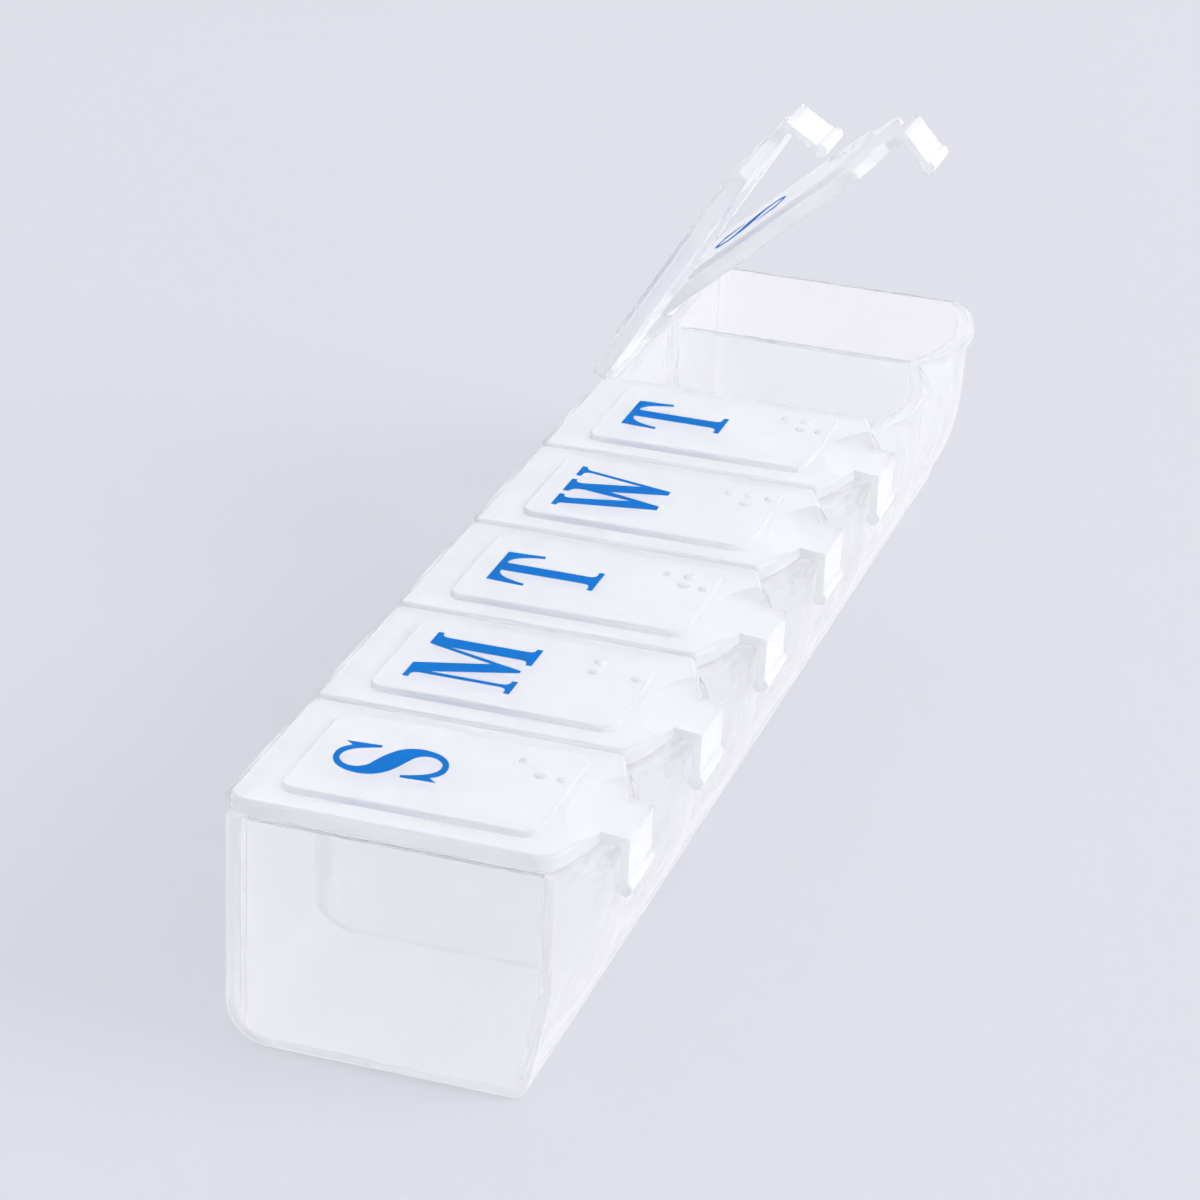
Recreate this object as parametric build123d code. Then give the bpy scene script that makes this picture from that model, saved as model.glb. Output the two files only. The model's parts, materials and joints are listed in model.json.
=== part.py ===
"""Weekly pill organizer: a tray of seven compartments, each shut by a snap lid on a moulded hinge web.

Millimetres. X runs along the tray from the first day to the last, the latches face -Y, the hinges lie
along +Y, and Z is up from the face on which the tray rests.
"""

import os

from build123d import *

# Compartments in a row, one for each day
days = ("sunday", "monday", "tuesday", "wednesday", "thursday", "friday", "saturday")
pitch = 21.4
tray_length = len(days) * pitch

# Tray walls
tray_depth = 30.5
tray_height = 22.8
wall = 1.2
divider = 1.2
floor_thickness = 1.1

# Foot of the tray: rounded behind, leaning in at the front below the break line
rear_foot_radius = 4.2
front_foot_inset = 2.4
front_break_height = 11.0
front_foot_radius = 1.0
end_corner_radius = 0.9
pocket_corner_radius = 1.5

# Bowed front bays, fullest at the rim and running out into the front wall above the foot
bay_bulge = 2.5
bay_notch = 0.4
bay_height_shares = (0.15, 0.34, 0.6, 1.0)
bay_bulge_shares = (-0.1, 0.62, 0.88, 1.0)
bay_sink = 0.3

# Snap lip round the rim of each bay
lip_proud = 0.75
lip_height = 1.4
lip_chamfer = 0.5

# Lids
lid_thickness = 1.6
lid_gap = 0.4
lid_seat_gap = 0.2
lid_front_bulge = 1.85
lid_front_corner_inset = 0.8
lid_corner_radius = 0.7
lid_end_corner_radius = 2.2
lid_top_edge_radius = 0.45
lid_under_edge_radius = 0.2

# Raised print panel on each lid
panel_raise = 0.6
panel_side_margin = 2.65
panel_rear_margin = 3.9
panel_front_margin = 2.1
panel_corner_radius = 1.4
panel_edge_radius = 0.25

# Hollow under the print panel, which keeps the wall of the lid even
hollow_depth = 1.0
hollow_inset = 1.3
hollow_corner_radius = 0.8

# Touch dots in front of the letter: each day's cell, drawn row by row with its raised places marked
raised_place = "o"
touch_cells = {
    "sunday": ".o o. o.",
    "monday": "oo .. o.",
    "tuesday": ".o oo o.",
    "wednesday": ".o oo .o",
    "thursday": ".o oo o.",
    "friday": "oo o. ..",
    "saturday": ".o o. o.",
}
dot_pitch = 2.1
dot_radius = 0.62
dot_rise = 0.36
dot_first_column = 2.5
dot_front_margin = 0.95

# Thumb scoop, a shallow round dish in the front of each lid
scoop_radius = 8.4
scoop_depth = 0.9
scoop_reach = 2.35

# Latch tab, which hangs over the snap lip and ends in a bead
tab_width = 6.8
tab_thickness = 0.8
tab_clearance = 0.2
tab_hang = 6.4
tab_edge_radius = 0.6
bead_radius = 0.72
bead_undercut = 0.07

# Hinge: a ledge on the tray, a ledge on the lid and a bent web between them
hinge_width = 13.8
hinge_web = 0.45
hinge_ledge = 0.7
hinge_leg = 0.12

# Opening angle of each lid as the organizer lies on the table, in degrees
open_angles = {"friday": 59.0, "saturday": 42.0}
half_turn = 180

# Cuts run this far past the faces that they open
overrun = 1.0

# Places that follow from the sizes above
rear_y = tray_depth / 2
front_y = -tray_depth / 2
pocket_width = pitch - divider
lid_width = pitch - lid_gap
lid_bottom = tray_height + lid_seat_gap
lid_top = lid_bottom + lid_thickness
panel_width = lid_width - 2 * panel_side_margin
panel_front_y = front_y + lid_front_corner_inset + panel_front_margin
panel_rear_y = rear_y - panel_rear_margin
panel_top = lid_top + panel_raise
axis_y = rear_y + hinge_ledge
axis_z = tray_height + lid_seat_gap / 2
web_inner_radius = lid_seat_gap / 2
web_outer_radius = web_inner_radius + hinge_web
tab_inner_y = front_y - bay_bulge - lip_proud - tab_clearance
tab_outer_y = tab_inner_y - tab_thickness
bead_y = front_y - bay_bulge - lip_proud + bead_undercut - bead_radius
bead_z = lid_top - tab_hang + bead_radius


def day_x(number):
    """Middle of a compartment along the tray."""
    return number * pitch - (tray_length - pitch) / 2


def front_line(height):
    """Y of the front wall's outer face between the bays at a height."""
    lean_share = max(0, 1 - height / front_break_height)
    return front_y + front_foot_inset * lean_share


def tray_section(inset, bottom, top, foot_radius, front_radius):
    """Section of the tray across its length, set in from the outer faces by a wall."""
    rear = rear_y - inset
    corners = [
        (rear, top),
        (rear, bottom),
        (front_line(bottom) + inset, bottom),
        (front_line(front_break_height) + inset, front_break_height),
        (front_y + inset, top),
    ]
    outline = make_face(Polyline(*corners, close=True))
    rear_foot = outline.vertices().sort_by_distance((rear, bottom))[0]
    outline = fillet(rear_foot, foot_radius)
    front_foot = outline.vertices().sort_by_distance((front_line(bottom) + inset, bottom))[0]
    return fillet(front_foot, front_radius)


def bowed_face(chord, rear, ends, apex):
    """Plan of a bay: straight behind, bowed in front."""
    bow = ThreePointArc((-chord / 2, ends), (0, apex), (chord / 2, ends))
    back = Polyline((chord / 2, ends), (chord / 2, rear), (-chord / 2, rear), (-chord / 2, ends))
    return make_face([bow, back])


def bay(chord, inset, rise):
    """One bay as a loft of bowed plans up the front wall, carried on by a straight rise."""
    plans = []
    for height_share, bulge_share in zip(bay_height_shares, bay_bulge_shares):
        height = tray_height * height_share
        face_y = front_line(height) + inset
        plan = bowed_face(chord, face_y + wall, face_y + bay_sink, face_y - bay_bulge * bulge_share)
        plans.append(Pos(0, 0, height) * plan)
    body = loft(plans)
    if rise:
        body += extrude(plans[-1], amount=rise)
    return body


def snap_lip():
    """Crescent lip round the rim of a bay, chamfered below."""
    chord = pitch - bay_notch
    plan = bowed_face(chord, front_y + wall, front_y + bay_sink, front_y - bay_bulge - lip_proud)
    lip = extrude(Pos(0, 0, tray_height - lip_height) * plan, amount=lip_height)
    low_edges = lip.edges().filter_by(GeomType.CIRCLE).sort_by(Axis.Z)[:1]
    return chamfer(low_edges, lip_chamfer)


def pocket():
    """Space inside one compartment, open at the top and bowed out into its bay."""
    section = tray_section(
        wall, floor_thickness, tray_height + overrun, rear_foot_radius - wall, front_foot_radius
    )
    plan = Rectangle(pocket_width, tray_depth - 2 * wall)
    plan = fillet(plan.vertices().group_by(Axis.Y)[-1], pocket_corner_radius)
    space = extrude(Plane.YZ * section, amount=pocket_width / 2, both=True)
    space &= extrude(plan, amount=tray_height + overrun)
    return space + bay(pocket_width, wall, overrun)


def hinge_strip(low):
    """Ledge that carries the hinge web, standing out behind the rear wall."""
    depth = hinge_ledge - hinge_leg + wall
    middle_y = rear_y - wall + depth / 2
    return Pos(0, middle_y, low + hinge_web / 2) * Box(hinge_width, depth, hinge_web)


def tray():
    """Tray with its bays, snap lips, hinge ledges and compartments."""
    section = tray_section(0, 0, tray_height, rear_foot_radius, front_foot_radius)
    body = extrude(Plane.YZ * section, amount=tray_length / 2, both=True)
    end_faces = body.faces().sort_by(Axis.X)
    end_edges = (end_faces[0].edges() + end_faces[-1].edges()).sort_by(Axis.Z)
    body = fillet(end_edges[:-2], end_corner_radius)
    bowed = bay(pitch - bay_notch, 0, 0) + snap_lip() + hinge_strip(tray_height - hinge_web)
    for number in range(len(days)):
        body += Pos(day_x(number), 0, 0) * bowed
    space = pocket()
    for number in range(len(days)):
        body -= Pos(day_x(number), 0, 0) * space
    return body


def lid_plate(number):
    """Flat plate of a lid, bowed in front, with round outer corners on the two end lids."""
    half = lid_width / 2
    corner_y = front_y + lid_front_corner_inset
    bow = ThreePointArc((-half, corner_y), (0, front_y - lid_front_bulge), (half, corner_y))
    back = Polyline((half, corner_y), (half, rear_y), (-half, rear_y), (-half, corner_y))
    plate = extrude(Pos(0, 0, lid_bottom) * make_face([bow, back]), amount=lid_thickness)
    sides = plate.edges().filter_by(Axis.Z).group_by(Axis.X)
    first_radius = lid_end_corner_radius if number == 0 else lid_corner_radius
    last_radius = lid_end_corner_radius if number == len(days) - 1 else lid_corner_radius
    plate = fillet(sides[0], first_radius)
    sides = plate.edges().filter_by(Axis.Z).group_by(Axis.X)
    plate = fillet(sides[-1], last_radius)
    plate = fillet(plate.faces().sort_by(Axis.Z)[-1].edges(), lid_top_edge_radius)
    return fillet(plate.faces().sort_by(Axis.Z)[0].edges(), lid_under_edge_radius)


def panel_block(inset, corner_radius, height):
    """Block over the print panel's plan, set in from its sides, from the underside of the lid up."""
    plan = RectangleRounded(
        panel_width - 2 * inset, panel_rear_y - panel_front_y - 2 * inset, corner_radius
    )
    return extrude(Pos(0, (panel_rear_y + panel_front_y) / 2, lid_bottom) * plan, amount=height)


def print_panel():
    """Raised panel that carries the day's letter."""
    panel = panel_block(0, panel_corner_radius, lid_thickness + panel_raise)
    return fillet(panel.faces().sort_by(Axis.Z)[-1].edges(), panel_edge_radius)


def touch_dots(day):
    """Balls whose tops stand out of the panel as the day's touch dots."""
    ball_radius = (dot_radius**2 + dot_rise**2) / (2 * dot_rise)
    rows = touch_cells[day].split()
    dots = []
    for column, places in enumerate(zip(*rows)):
        for rows_up, place in zip(reversed(range(len(rows))), places):
            if place == raised_place:
                x = dot_first_column + column * dot_pitch
                y = panel_front_y + dot_front_margin + rows_up * dot_pitch
                dots.append(Pos(x, y, panel_top + dot_rise - ball_radius) * Sphere(ball_radius))
    return dots


def latch_tab():
    """Tab that runs on from the lid, hangs over the snap lip and ends in a round bead."""
    root_y = front_y - lid_front_bulge + wall
    run = Pos((root_y + tab_outer_y) / 2, lid_bottom + lid_thickness / 2) * Rectangle(
        root_y - tab_outer_y, lid_thickness
    )
    hang = Pos((tab_inner_y + tab_outer_y) / 2, (lid_top + bead_z) / 2) * Rectangle(
        tab_thickness, lid_top - bead_z
    )
    profile = run + hang + Pos(bead_y, bead_z) * Circle(bead_radius)
    crown = profile.vertices().sort_by_distance((tab_outer_y, lid_top))[0]
    profile = fillet(crown, tab_edge_radius)
    return extrude(Plane.YZ * profile, amount=tab_width / 2, both=True)


def thumb_scoop():
    """Ball whose lowest part dishes the front of a lid."""
    ball_radius = (scoop_radius**2 + scoop_depth**2) / (2 * scoop_depth)
    middle_y = front_y + scoop_reach - scoop_radius
    return Pos(0, middle_y, lid_top - scoop_depth + ball_radius) * Sphere(ball_radius)


def lid(number):
    """One lid, shut."""
    body = lid_plate(number) + latch_tab() + hinge_strip(lid_bottom)
    body -= thumb_scoop()
    body += print_panel()
    body -= panel_block(hollow_inset, hollow_corner_radius, hollow_depth)
    for dot in touch_dots(days[number]):
        body += dot
    return Pos(day_x(number), 0, 0) * body


def hinge_bend(open_angle):
    """Thin web bent round the hinge axis, from the tray's ledge to the lid's."""
    bend_angle = half_turn - open_angle
    outer = CenterArc((0, 0), web_outer_radius, -half_turn / 2, bend_angle)
    inner = CenterArc((0, 0), web_inner_radius, -half_turn / 2, bend_angle)
    ends = [Line(outer @ 0, inner @ 0), Line(outer @ 1, inner @ 1)]
    middle = (web_inner_radius + web_outer_radius) / 2
    tray_leg = Pos(-hinge_leg / 2, -middle) * Rectangle(hinge_leg, hinge_web)
    lid_leg = Rot(0, 0, -open_angle) * Pos(-hinge_leg / 2, middle) * Rectangle(hinge_leg, hinge_web)
    profile = make_face([outer, inner, *ends]) + tray_leg + lid_leg
    return extrude(Plane.YZ * (Pos(axis_y, axis_z) * profile), amount=hinge_width / 2, both=True)


def build():
    """Every piece under its own name, at rest."""
    pieces = {"tray": tray()}
    for number, day in enumerate(days):
        open_angle = open_angles.get(day, 0)
        hinge_axis = Axis((0, axis_y, axis_z), (-1, 0, 0))
        pieces[f"lid_{day}"] = lid(number).rotate(hinge_axis, open_angle)
        pieces[f"hinge_web_{day}"] = Pos(day_x(number), 0, 0) * hinge_bend(open_angle)
    return pieces


os.makedirs("parts", exist_ok=True)
for name, shape in build().items():
    export_step(shape, f"parts/{name}.step")
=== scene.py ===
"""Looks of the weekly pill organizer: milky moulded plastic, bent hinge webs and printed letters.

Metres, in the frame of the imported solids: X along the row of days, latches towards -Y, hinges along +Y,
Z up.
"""

import json
import math

import bmesh
import bpy
from mathutils import Matrix, Vector


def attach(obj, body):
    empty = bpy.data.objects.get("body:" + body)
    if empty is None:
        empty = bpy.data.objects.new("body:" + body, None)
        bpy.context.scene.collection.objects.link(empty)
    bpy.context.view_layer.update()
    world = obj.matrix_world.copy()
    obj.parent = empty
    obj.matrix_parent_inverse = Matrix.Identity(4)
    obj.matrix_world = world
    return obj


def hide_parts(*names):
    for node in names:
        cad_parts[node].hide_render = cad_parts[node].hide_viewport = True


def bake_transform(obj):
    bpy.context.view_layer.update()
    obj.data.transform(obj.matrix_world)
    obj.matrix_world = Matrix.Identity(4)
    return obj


MM = 0.001
WELD = 0.0005 * MM

# Top of the raised panel over the hinge line of a shut lid
PANEL_TOP = 2.3 * MM

# Printed letters
INK_HEIGHT = 10.4 * MM
INK_MIDDLE = 12.2 * MM
INK_SINK = 0.03 * MM
INK_PROUD = 0.02 * MM
INK_CURVE_STEPS = 6

# Hinge webs
WEB_WIDTH = 13.8 * MM
WEB_INNER = 0.1 * MM
WEB_OUTER = 0.55 * MM
WEB_LEG = 0.12 * MM
WEB_STEPS = 24
WEB_LEG_ENDS = 2

# Skin of the plastic: waves to the metre, shares of the relief, and the relief itself
PATCH_WAVES = 90.0
RIPPLE_WAVES = 260.0
RIPPLE_DETAIL = 1.0
RIPPLE_SHARE = 0.7
GRAIN_WAVES = 5200.0
GRAIN_DETAIL = 3.0
GRAIN_SHARE = 0.015
SKIN_STRENGTH = 0.12
SKIN_RELIEF = 0.4 * MM

# Body of the plastic
COOL_WHITE = (0.985, 0.99, 1.0)
WHITE = (1.0, 1.0, 1.0)
PLASTIC_IOR = 1.49
FORWARD_SCATTER = 0.6

# Day ink
THIN_INK = (0.008, 0.228, 0.68)
FULL_INK = (0.014, 0.275, 0.78)
INK_WAVES = 1500.0
INK_DETAIL = 4.0
INK_ROUGHNESS = 0.5
INK_ROUGHNESS_SPREAD = 0.15

# Paper floor and the pale distance into which it runs out
FLOOR_RADIUS = 3.0
FLOOR_CORNERS = 96
DARK_PAPER = (0.645, 0.645, 0.685)
PALE_PAPER = (0.665, 0.665, 0.705)
PAPER_WAVES = 3.0
NEAR_FLOOR = (0.75, 0.755, 0.81)
FAR_FLOOR = (0.80, 0.795, 0.86)
NEAR_REACH = 0.15
FAR_REACH = 1.2
NEAR_GLOW = 0.4
MIRRORED_FLOOR = (0.93, 0.93, 0.975)

# Light
ROOM = (0.94, 0.95, 1.0)
LAMP_PLACE = (0.30, -1.70, 0.90)
LAMP_SIZE = 1.4
LAMP_POWER = 18.0

# Camera
CAMERA_PLACE = (-352.6 * MM, -103.4 * MM, 185.3 * MM)
CAMERA_AIM = (-3.9 * MM, 3.7 * MM, 14.8 * MM)
CAMERA_ROLL = 2.5
CAMERA_LENS = 118.0

# Letter printed on each lid
DAYS = {
    "sunday": "S",
    "monday": "M",
    "tuesday": "T",
    "wednesday": "W",
    "thursday": "T",
    "friday": "F",
    "saturday": "S",
}

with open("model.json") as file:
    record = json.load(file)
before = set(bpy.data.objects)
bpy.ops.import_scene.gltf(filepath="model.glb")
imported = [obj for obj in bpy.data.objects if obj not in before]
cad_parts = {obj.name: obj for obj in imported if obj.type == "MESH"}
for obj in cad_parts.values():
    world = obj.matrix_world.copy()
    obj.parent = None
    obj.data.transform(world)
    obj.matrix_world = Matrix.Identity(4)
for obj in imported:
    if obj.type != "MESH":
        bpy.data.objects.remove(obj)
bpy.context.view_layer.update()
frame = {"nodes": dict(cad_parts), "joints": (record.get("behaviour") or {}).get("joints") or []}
hinges = {joint["child"]: joint for joint in frame["joints"]}


# Letter outlines, in shares of the letter height. A third entry marks a point that the line rounds.
S_HALF = [
    (0.525, 0.985), (0.548, 0.668), (0.508, 0.662), (0.468, 0.76, 1), (0.39, 0.885, 1), (0.265, 0.94, 1),
    (0.15, 0.89, 1), (0.105, 0.775, 1), (0.15, 0.685, 1), (0.27, 0.63, 1), (0.41, 0.575, 1), (0.525, 0.5, 1),
    (0.59, 0.4, 1), (0.605, 0.3, 1), (0.575, 0.165, 1), (0.48, 0.05, 1), (0.32, 0.0, 1), (0.21, 0.025, 1),
    (0.138, 0.092),
]
S_WIDTH = 0.605
T_HALF = [
    (0.325, 1.0), (0.348, 0.635), (0.304, 0.63), (0.27, 0.75, 1), (0.215, 0.865, 1), (0.13, 0.928, 1),
    (0.085, 0.928), (0.082, 0.12), (0.1, 0.07, 1), (0.15, 0.055, 1), (0.205, 0.055), (0.205, 0.0),
]
LETTERS = {
    "S": S_HALF + [(S_WIDTH - x, 1.0 - y, *soft) for x, y, *soft in S_HALF],
    "T": T_HALF + [(-x, y, *soft) for x, y, *soft in reversed(T_HALF)],
    "F": [
        (0.0, 1.0), (0.68, 1.0), (0.698, 0.67), (0.655, 0.665), (0.625, 0.77, 1), (0.565, 0.87, 1),
        (0.46, 0.93, 1), (0.3, 0.93), (0.3, 0.548), (0.38, 0.553, 1), (0.455, 0.61, 1), (0.488, 0.742),
        (0.528, 0.745), (0.532, 0.288), (0.498, 0.288), (0.462, 0.425, 1), (0.39, 0.488, 1), (0.3, 0.493),
        (0.3, 0.12), (0.318, 0.07, 1), (0.37, 0.055, 1), (0.425, 0.055), (0.425, 0.0), (0.0, 0.0),
        (0.0, 0.055), (0.06, 0.055, 1), (0.108, 0.07, 1), (0.125, 0.12), (0.125, 0.88), (0.108, 0.93, 1),
        (0.06, 0.945, 1), (0.0, 0.945),
    ],
    "W": [
        (0.0, 1.0), (0.275, 1.0), (0.275, 0.945), (0.225, 0.935, 1), (0.205, 0.88), (0.362, 0.3),
        (0.45, 0.8), (0.435, 0.9, 1), (0.36, 0.945), (0.36, 1.0), (0.665, 1.0), (0.665, 0.945),
        (0.612, 0.935, 1), (0.592, 0.88), (0.742, 0.3), (0.872, 0.87), (0.855, 0.925, 1), (0.765, 0.945),
        (0.765, 1.0), (1.0, 1.0), (1.0, 0.945), (0.945, 0.925, 1), (0.92, 0.87), (0.728, 0.0),
        (0.638, 0.0), (0.495, 0.56), (0.345, 0.0), (0.255, 0.0), (0.07, 0.88), (0.052, 0.935, 1),
        (0.0, 0.945),
    ],
    "M": [
        (0.0, 1.0), (0.285, 1.0), (0.508, 0.34), (0.705, 1.0), (0.95, 1.0), (0.95, 0.945),
        (0.888, 0.93, 1), (0.868, 0.88), (0.868, 0.12), (0.888, 0.07, 1), (0.95, 0.055), (0.95, 0.0),
        (0.605, 0.0), (0.605, 0.055), (0.672, 0.07, 1), (0.692, 0.12), (0.692, 0.8), (0.478, 0.05),
        (0.432, 0.05), (0.162, 0.8), (0.162, 0.12), (0.182, 0.07, 1), (0.255, 0.055), (0.255, 0.0),
        (0.0, 0.0), (0.0, 0.055), (0.088, 0.07, 1), (0.108, 0.12), (0.108, 0.88), (0.088, 0.93, 1),
        (0.0, 0.945),
    ],
}


class Field:
    """A value that changes over a surface or along a path. Sums on fields add Math nodes to their tree."""

    def __init__(self, tree, socket=None):
        self.tree = tree
        self.socket = socket

    def node(self, kind, settings, inputs, output=0):
        """Adds any node: its settings first, then the values or links of its sockets."""
        added = self.tree.nodes.new(kind)
        for name, value in settings.items():
            setattr(added, name, value)
        for name, value in inputs.items():
            if isinstance(value, Field):
                self.tree.links.new(value.socket, added.inputs[name])
            else:
                added.inputs[name].default_value = value
        return Field(self.tree, added.outputs[output] if added.outputs else None)

    def maths(self, operation, first, second=0.0):
        """Adds a Math node."""
        return self.node("ShaderNodeMath", {"operation": operation}, {0: first, 1: second})

    def __add__(self, other):
        return self.maths("ADD", self, other)

    def __radd__(self, other):
        return self.maths("ADD", other, self)

    def __sub__(self, other):
        return self.maths("SUBTRACT", self, other)

    def __rsub__(self, other):
        return self.maths("SUBTRACT", other, self)

    def __mul__(self, other):
        return self.maths("MULTIPLY", self, other)

    def __rmul__(self, other):
        return self.maths("MULTIPLY", other, self)


def new_material(name):
    """An empty node material and the field that builds its tree."""
    material = bpy.data.materials.new(name)
    material.use_nodes = True
    material.node_tree.nodes.clear()
    return material, Field(material.node_tree)


def noise(field, place, scale, detail=2.0):
    """Noise from 0 to 1 with a given number of waves to the metre."""
    inputs = {"Vector": place, "Scale": scale, "Detail": detail}
    return field.node("ShaderNodeTexNoise", {}, inputs, "Fac")


def colour_between(field, share, low, high):
    """A colour that runs from one to the other."""
    inputs = {"Factor": share, "A": (*low, 1.0), "B": (*high, 1.0)}
    return field.node("ShaderNodeMix", {"data_type": "RGBA"}, inputs, 2)


def moulded_plastic(name, milk, clouds, gloss, haze, depth):
    """Polypropylene with a wavy moulded skin, and milk in it that whitens what is seen through much of it.

    milk is the share of the skin that is white, clouds how much that varies, gloss and haze the least
    roughness and its spread, and depth how often light scatters inside, to the metre.
    """
    material, field = new_material(name)
    place = field.node("ShaderNodeTexCoord", {}, {}, "Object")
    patches = noise(field, place, PATCH_WAVES)
    ripple = noise(field, place, RIPPLE_WAVES, RIPPLE_DETAIL)
    grain = noise(field, place, GRAIN_WAVES, GRAIN_DETAIL)
    normal = field.node("ShaderNodeBump", {}, {
        "Height": ripple * RIPPLE_SHARE + grain * GRAIN_SHARE,
        "Strength": SKIN_STRENGTH,
        "Distance": SKIN_RELIEF,
    }, "Normal")
    tint = colour_between(field, patches, COOL_WHITE, WHITE)
    clear_part = field.node("ShaderNodeBsdfPrincipled", {}, {
        "Base Color": tint,
        "Roughness": gloss + patches * haze,
        "Normal": normal,
        "IOR": PLASTIC_IOR,
        "Transmission Weight": 1.0,
    })
    milky_part = field.node("ShaderNodeBsdfPrincipled", {}, {
        "Base Color": tint,
        "Roughness": 1.0,
        "Specular IOR Level": 0.0,
        "Normal": normal,
    })
    share = milk + (patches - 0.5) * clouds
    shader = field.node("ShaderNodeMixShader", {}, {0: share, 1: clear_part, 2: milky_part})
    inside = field.node("ShaderNodeVolumeScatter", {}, {
        "Color": (*WHITE, 1.0),
        "Density": depth,
        "Anisotropy": FORWARD_SCATTER,
    })
    field.node("ShaderNodeOutputMaterial", {}, {"Surface": shader, "Volume": inside})
    return material


def printed_ink():
    """Day ink: an even blue film that lets some light through, a little thin in places."""
    material, field = new_material("day_ink")
    place = field.node("ShaderNodeTexCoord", {}, {}, "Object")
    cover = noise(field, place, INK_WAVES, INK_DETAIL)
    shader = field.node("ShaderNodeBsdfPrincipled", {}, {
        "Base Color": colour_between(field, cover, THIN_INK, FULL_INK),
        "Roughness": INK_ROUGHNESS + cover * INK_ROUGHNESS_SPREAD,
        "Specular IOR Level": 0.08,
        "Transmission Weight": 0.55,
        "IOR": 1.1,
    })
    field.node("ShaderNodeOutputMaterial", {}, {"Surface": shader})
    return material


def ray(field, kind):
    """1 for the rays of a kind, 0 for all others."""
    return field.node("ShaderNodeLightPath", {}, {}, f"Is {kind} Ray")


def floor_paper():
    """Pale matt paper that takes the object's shadow and runs out into a paler distance."""
    material, field = new_material("pale_paper")
    place = field.node("ShaderNodeTexCoord", {}, {}, "Object")
    tone = noise(field, place, PAPER_WAVES)
    paper = field.node("ShaderNodeBsdfPrincipled", {}, {
        "Base Color": colour_between(field, tone, DARK_PAPER, PALE_PAPER),
        "Roughness": 0.9,
        "Specular IOR Level": 0.1,
    })
    reach = field.node("ShaderNodeVectorMath", {"operation": "LENGTH"}, {0: place}, "Value")
    distance = field.node("ShaderNodeMapRange", {"interpolation_type": "SMOOTHSTEP"}, {
        "Value": reach,
        "From Min": NEAR_REACH,
        "From Max": FAR_REACH,
    })
    floor_colour = colour_between(field, distance, NEAR_FLOOR, FAR_FLOOR)
    glow = field.node("ShaderNodeEmission", {}, {"Color": floor_colour})
    glow_share = ray(field, "Camera") * (NEAR_GLOW + distance * (1.0 - NEAR_GLOW))
    shader = field.node("ShaderNodeMixShader", {}, {0: glow_share, 1: paper, 2: glow})

    # What gloss and clear plastic show of the floor
    bright = field.node("ShaderNodeEmission", {}, {"Color": (*MIRRORED_FLOOR, 1.0)})
    beyond = ray(field, "Glossy") + ray(field, "Transmission")
    shader = field.node("ShaderNodeMixShader", {}, {0: beyond, 1: shader, 2: bright})
    field.node("ShaderNodeOutputMaterial", {}, {"Surface": shader})
    return material


tray_plastic = moulded_plastic("tray_plastic", milk=0.07, clouds=0.04, gloss=0.02, haze=0.04, depth=400.0)
lid_plastic = moulded_plastic("lid_plastic", milk=0.37, clouds=0.08, gloss=0.03, haze=0.05, depth=160.0)
web_plastic = moulded_plastic("web_plastic", milk=0.70, clouds=0.15, gloss=0.10, haze=0.08, depth=400.0)
day_ink = printed_ink()


def finish(mesh, name, material):
    """A piece at the origin with its place in its mesh, welded, and with its faces outwards."""
    shape = bmesh.new()
    shape.from_mesh(mesh)
    bmesh.ops.remove_doubles(shape, verts=shape.verts, dist=WELD)
    bmesh.ops.recalc_face_normals(shape, faces=shape.faces)
    shape.to_mesh(mesh)
    shape.free()
    mesh.materials.clear()
    mesh.materials.append(material)
    piece = bpy.data.objects.new(name, mesh)
    bpy.context.scene.collection.objects.link(piece)
    return piece


def lid_place(hinge):
    """From a shut lid, measured from the middle of its hinge line, to the lid as it lies at rest."""
    open_angle = math.radians(-hinge["range_deg"][0])
    turn = Matrix.Rotation(open_angle, 4, Vector(hinge["axis"]))
    return Matrix.Translation(hinge["pos_m"]) @ turn


def letter_mesh(letter):
    """The letter as a thin plate with its middle at the origin."""
    outline = LETTERS[letter]
    curve = bpy.data.curves.new("letter", "CURVE")
    curve.dimensions = "2D"
    curve.fill_mode = "BOTH"
    curve.resolution_u = INK_CURVE_STEPS
    curve.extrude = (INK_SINK + INK_PROUD) / 2
    spline = curve.splines.new("BEZIER")
    spline.bezier_points.add(len(outline) - 1)
    spline.use_cyclic_u = True
    middle = (min(p[0] for p in outline) + max(p[0] for p in outline)) / 2
    for point, (x, y, *soft) in zip(spline.bezier_points, outline):
        point.co = ((x - middle) * INK_HEIGHT, (y - 0.5) * INK_HEIGHT, 0.0)
        point.handle_left_type = "AUTO" if soft else "VECTOR"
        point.handle_right_type = "AUTO" if soft else "VECTOR"
    drawn = bpy.data.objects.new("letter", curve)
    mesh = bpy.data.meshes.new_from_object(drawn)
    bpy.data.objects.remove(drawn)
    bpy.data.curves.remove(curve)
    return mesh


def print_letters():
    """The letter of each day, printed on the raised panel of its lid."""
    for day, letter in DAYS.items():
        hinge = hinges["lid_" + day]
        mesh = letter_mesh(letter)
        film_middle = PANEL_TOP + (INK_PROUD - INK_SINK) / 2
        mesh.transform(lid_place(hinge) @ Matrix.Translation((0.0, -INK_MIDDLE, film_middle)))
        piece = finish(mesh, "letter_" + day, day_ink)
        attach(piece, "lid_" + day)


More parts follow.
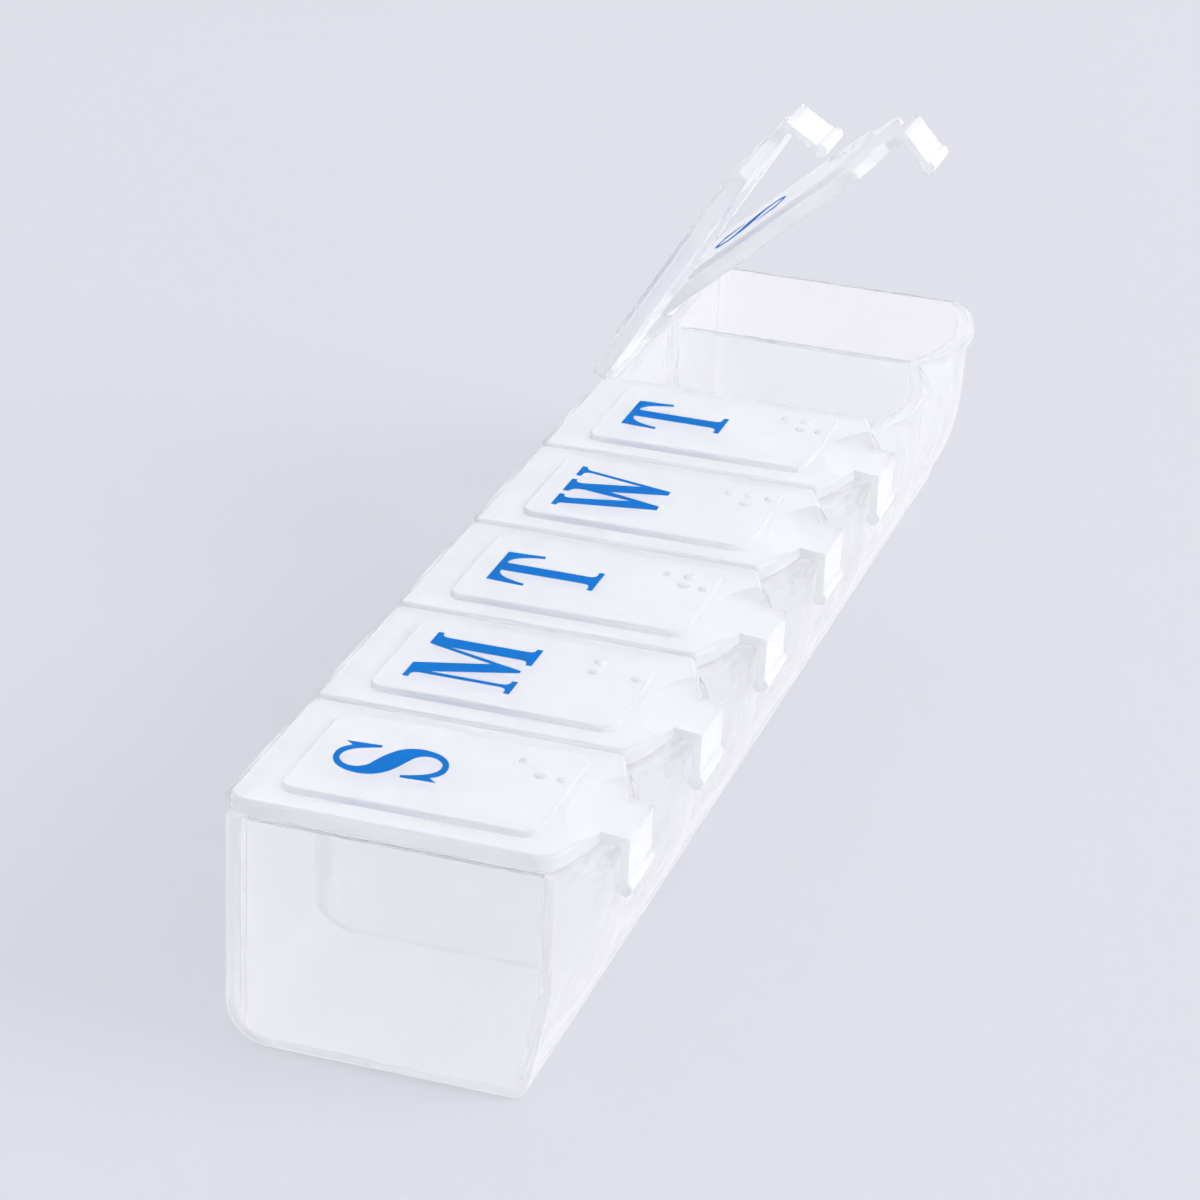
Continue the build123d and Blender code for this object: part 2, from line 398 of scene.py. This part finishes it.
def web_tree():
    """Tree of nodes for a web: a flat strip along its leg on the tray, its bend and its leg on the lid."""
    tree = bpy.data.node_groups.new("hinge_web", "GeometryNodeTree")
    for name in ("Width", "Inner Radius", "Outer Radius", "Leg", "Turn"):
        tree.interface.new_socket(name, in_out="INPUT", socket_type="NodeSocketFloat")
    tree.interface.new_socket("Web", in_out="OUTPUT", socket_type="NodeSocketGeometry")
    field = Field(tree)
    entry = tree.nodes.new("NodeGroupInput")
    size = {socket.name: Field(tree, socket) for socket in entry.outputs if socket.name}
    radius = (size["Inner Radius"] + size["Outer Radius"]) * 0.5
    thickness = size["Outer Radius"] - size["Inner Radius"]

    # Points of the path: one at the end of each leg, and the others round the bend
    line = field.node("GeometryNodeCurvePrimitiveLine", {}, {})
    count = WEB_STEPS + 1 + WEB_LEG_ENDS
    line = field.node("GeometryNodeResampleCurve", {}, {"Curve": line, "Count": count})
    step = field.node("GeometryNodeInputIndex", {}, {}) - 1.0
    settings = {"operation": "DIVIDE", "use_clamp": True}
    share = field.node("ShaderNodeMath", settings, {0: step, 1: float(WEB_STEPS)})
    angle = share * size["Turn"] - math.pi / 2
    along_leg = (step - share * float(WEB_STEPS)) * size["Leg"]
    sine, cosine = field.maths("SINE", angle), field.maths("COSINE", angle)
    place = field.node("ShaderNodeCombineXYZ", {}, {
        "Y": radius * cosine - along_leg * sine,
        "Z": radius * sine + along_leg * cosine,
    })
    path = field.node("GeometryNodeSetPosition", {}, {"Geometry": line, "Position": place})

    section = {"Width": size["Width"], "Height": thickness}
    strip = field.node("GeometryNodeCurvePrimitiveQuadrilateral", {}, section)
    sweep = {"Curve": path, "Profile Curve": strip, "Fill Caps": True}
    web = field.node("GeometryNodeCurveToMesh", {}, sweep)
    web = field.node("GeometryNodeRealizeInstances", {}, {"Geometry": web})
    web = field.node("GeometryNodeSetMaterial", {}, {"Geometry": web, "Material": web_plastic})
    field.node("NodeGroupOutput", {}, {"Web": web})
    return tree


def grown_mesh(tree, sizes):
    """Plain mesh that a tree of nodes makes from the given sizes."""
    holder = bpy.data.objects.new("holder", bpy.data.meshes.new("holder"))
    bpy.context.scene.collection.objects.link(holder)
    modifier = holder.modifiers.new("shape", "NODES")
    modifier.node_group = tree
    for socket in tree.interface.items_tree:
        if socket.in_out == "INPUT":
            modifier[socket.identifier] = sizes[socket.name]
    graph = bpy.context.evaluated_depsgraph_get()
    mesh = bpy.data.meshes.new_from_object(holder.evaluated_get(graph))
    blank = holder.data
    bpy.data.objects.remove(holder)
    bpy.data.meshes.remove(blank)
    return mesh


def bend_webs():
    """The thin webs that carry the lids, each bent to the angle at which its lid lies at rest."""
    tree = web_tree()
    for day in DAYS:
        hinge = hinges["lid_" + day]
        middle = Vector(hinge["pos_m"])
        turn = math.pi + math.radians(hinge["range_deg"][0])
        mesh = grown_mesh(tree, {
            "Width": WEB_WIDTH,
            "Inner Radius": WEB_INNER,
            "Outer Radius": WEB_OUTER,
            "Leg": WEB_LEG,
            "Turn": turn,
        })
        mesh.transform(Matrix.Translation(middle))
        piece = finish(mesh, "web_" + day, web_plastic)
        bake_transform(piece)
        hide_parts("hinge_web_" + day)


def finish_solids():
    """The tray and the lids keep their solid shape and take the plastic's finish."""
    for name, node in frame["nodes"].items():
        if name.startswith("hinge_web"):
            continue
        plastic = tray_plastic if name == "tray" else lid_plastic
        node.data.materials.clear()
        node.data.materials.append(plastic)


def set_stage():
    """A wide pale floor."""
    bpy.ops.mesh.primitive_circle_add(vertices=FLOOR_CORNERS, radius=FLOOR_RADIUS, fill_type="NGON")
    floor = bpy.context.object
    floor.name = "floor"
    floor.data.materials.append(floor_paper())


def set_light():
    """An even pale room, with one large soft lamp on the side of the latches."""
    world = bpy.data.worlds.new("pale_room")
    world.use_nodes = True
    bpy.context.scene.world = world
    world.node_tree.nodes.clear()
    field = Field(world.node_tree)
    room = field.node("ShaderNodeBackground", {}, {"Color": (*ROOM, 1.0)})
    backdrop = field.node("ShaderNodeBackground", {}, {"Color": (*FAR_FLOOR, 1.0)})
    shader = field.node("ShaderNodeMixShader", {}, {0: ray(field, "Camera"), 1: room, 2: backdrop})
    field.node("ShaderNodeOutputWorld", {}, {"Surface": shader})
    lamp = bpy.data.lights.new("soft_lamp", "AREA")
    lamp.shape = "DISK"
    lamp.size = LAMP_SIZE
    lamp.energy = LAMP_POWER
    holder = bpy.data.objects.new("soft_lamp", lamp)
    holder.location = LAMP_PLACE
    holder.rotation_euler = (-Vector(LAMP_PLACE)).to_track_quat("-Z", "Y").to_euler()
    bpy.context.scene.collection.objects.link(holder)


def set_camera():
    """The photograph's standpoint, turned to the object."""
    lens = bpy.data.cameras.new("camera")
    lens.lens = CAMERA_LENS
    camera = bpy.data.objects.new("camera", lens)
    camera.location = CAMERA_PLACE
    aim = Vector(CAMERA_AIM) - Vector(CAMERA_PLACE)
    turn = aim.to_track_quat("-Z", "Y").to_matrix().to_4x4()
    turn = turn @ Matrix.Rotation(math.radians(CAMERA_ROLL), 4, "Z")
    camera.rotation_euler = turn.to_euler()
    bpy.context.scene.collection.objects.link(camera)
    bpy.context.scene.camera = camera


def set_render():
    """Colours as written, and enough bounces for light to cross all the walls."""
    scene = bpy.context.scene
    scene.view_settings.view_transform = "Standard"
    scene.cycles.blur_glossy = 0.0
    scene.cycles.max_bounces = 64
    scene.cycles.volume_bounces = 16
    scene.cycles.diffuse_bounces = 32
    scene.cycles.glossy_bounces = 32
    scene.cycles.transmission_bounces = 64


finish_solids()
print_letters()
bend_webs()
set_stage()
set_light()
set_camera()
set_render()
